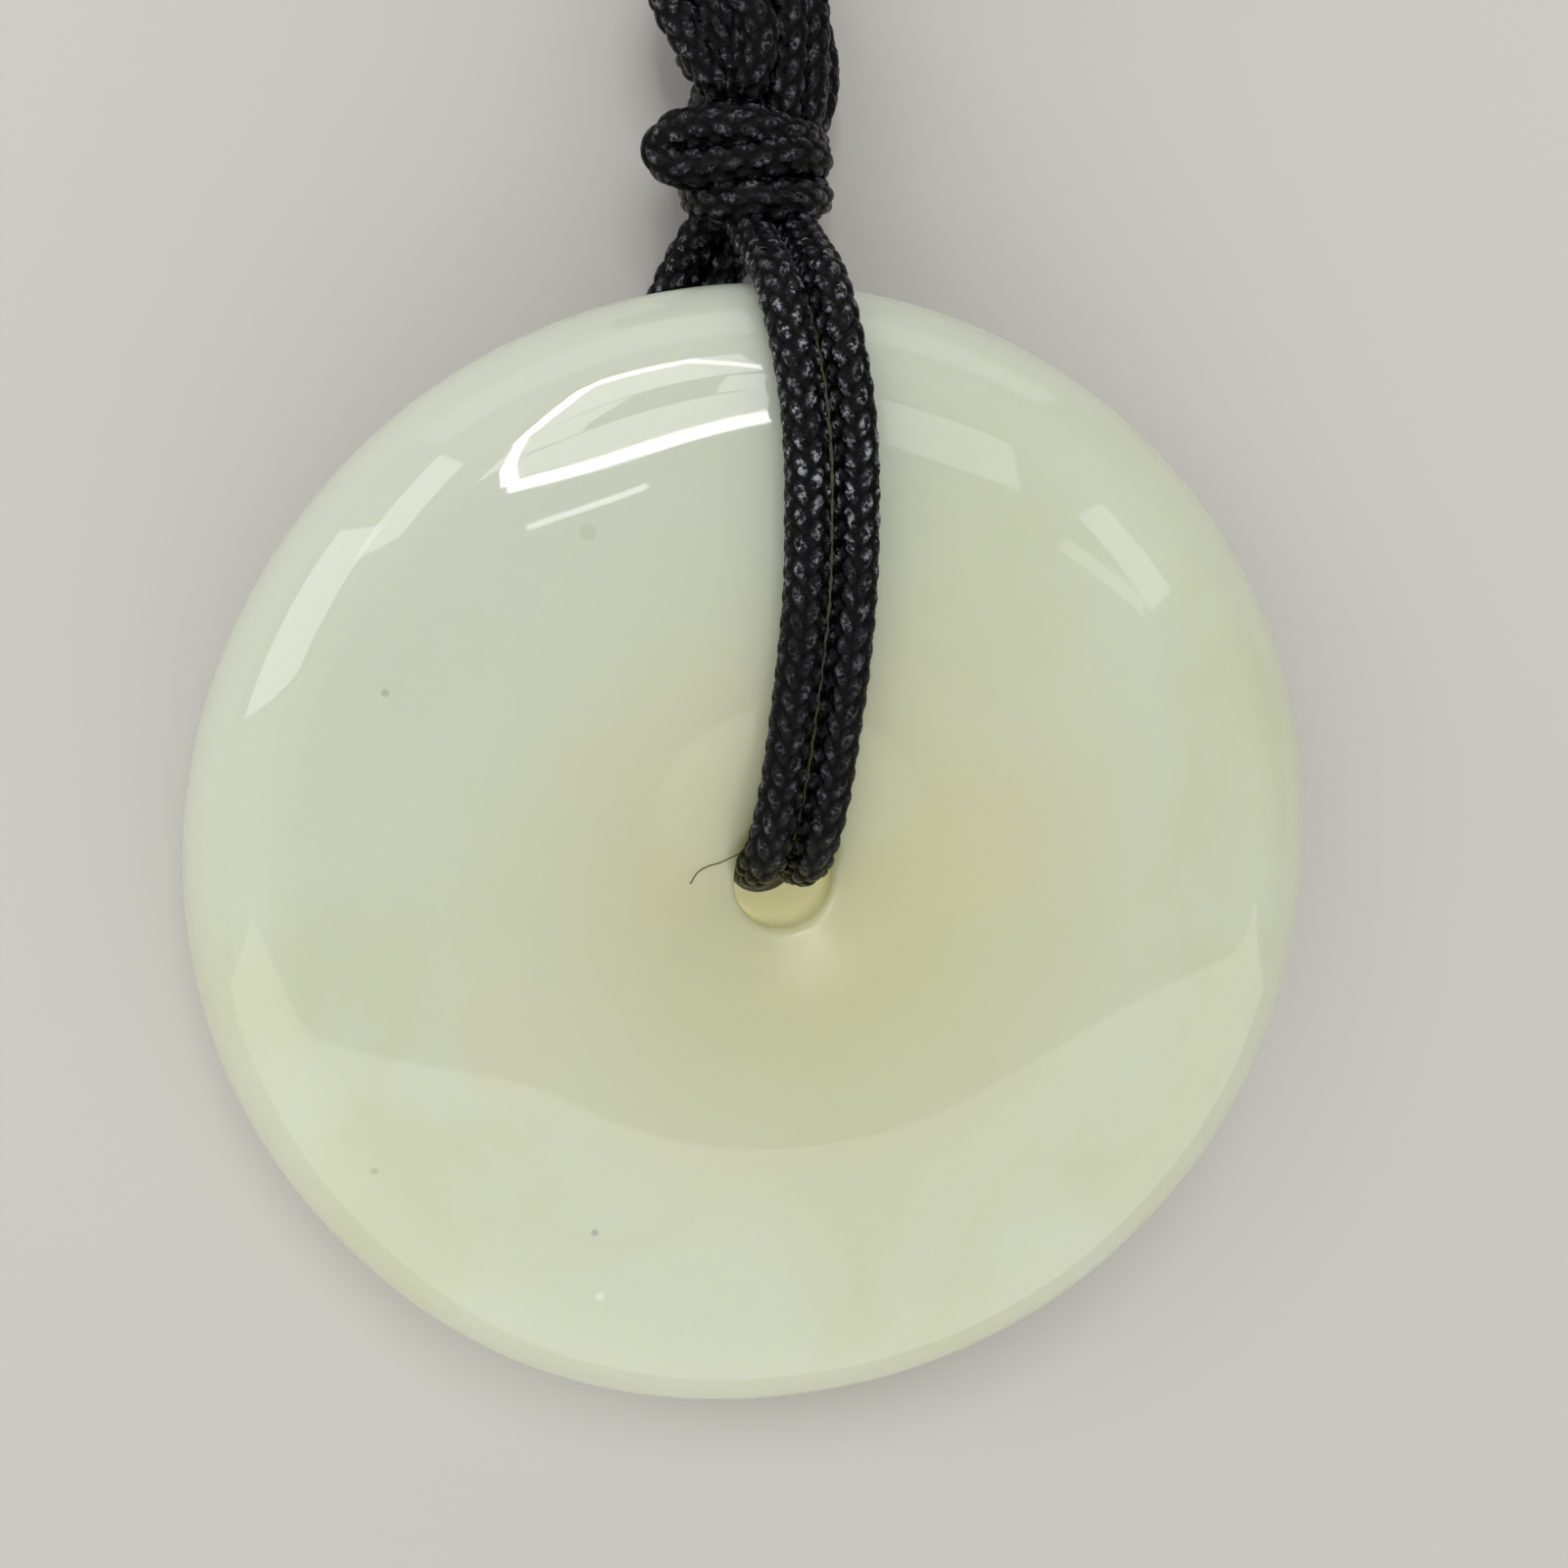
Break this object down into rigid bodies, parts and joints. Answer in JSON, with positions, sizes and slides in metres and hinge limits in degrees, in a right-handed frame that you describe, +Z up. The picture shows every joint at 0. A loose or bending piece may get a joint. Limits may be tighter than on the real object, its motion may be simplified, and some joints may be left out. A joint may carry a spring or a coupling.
{
  "type": "jade disc pendant",
  "caption": "Round polished jade disc with a rounded rim and a small central hole, lying on its back on a doubled black braided cord with two knots and a coiled neck cord.",
  "frame": {"origin": "on the floor, under the middle of the jade disc's outline", "axes": "+Z up, out of the disc's front face but for the 5 degrees that the cord under it tilts it; +Y from the hole towards the knots"},
  "size_m": [0.048, 0.0932, 0.0138],
  "materials": {
    "jade": "high polish, slightly translucent",
    "cord": "waxed braid, low sheen"
  },
  "bodies": {
    "root": {"jade_disc": "jade", "hanging_strand_left": "cord", "hanging_strand_right": "cord", "lower_knot": "cord", "upper_knot": "cord", "neck_cord_first_end": "cord", "neck_cord_last_end": "cord", "neck_cord_coil": "cord"}
  },
  "joints": []
}
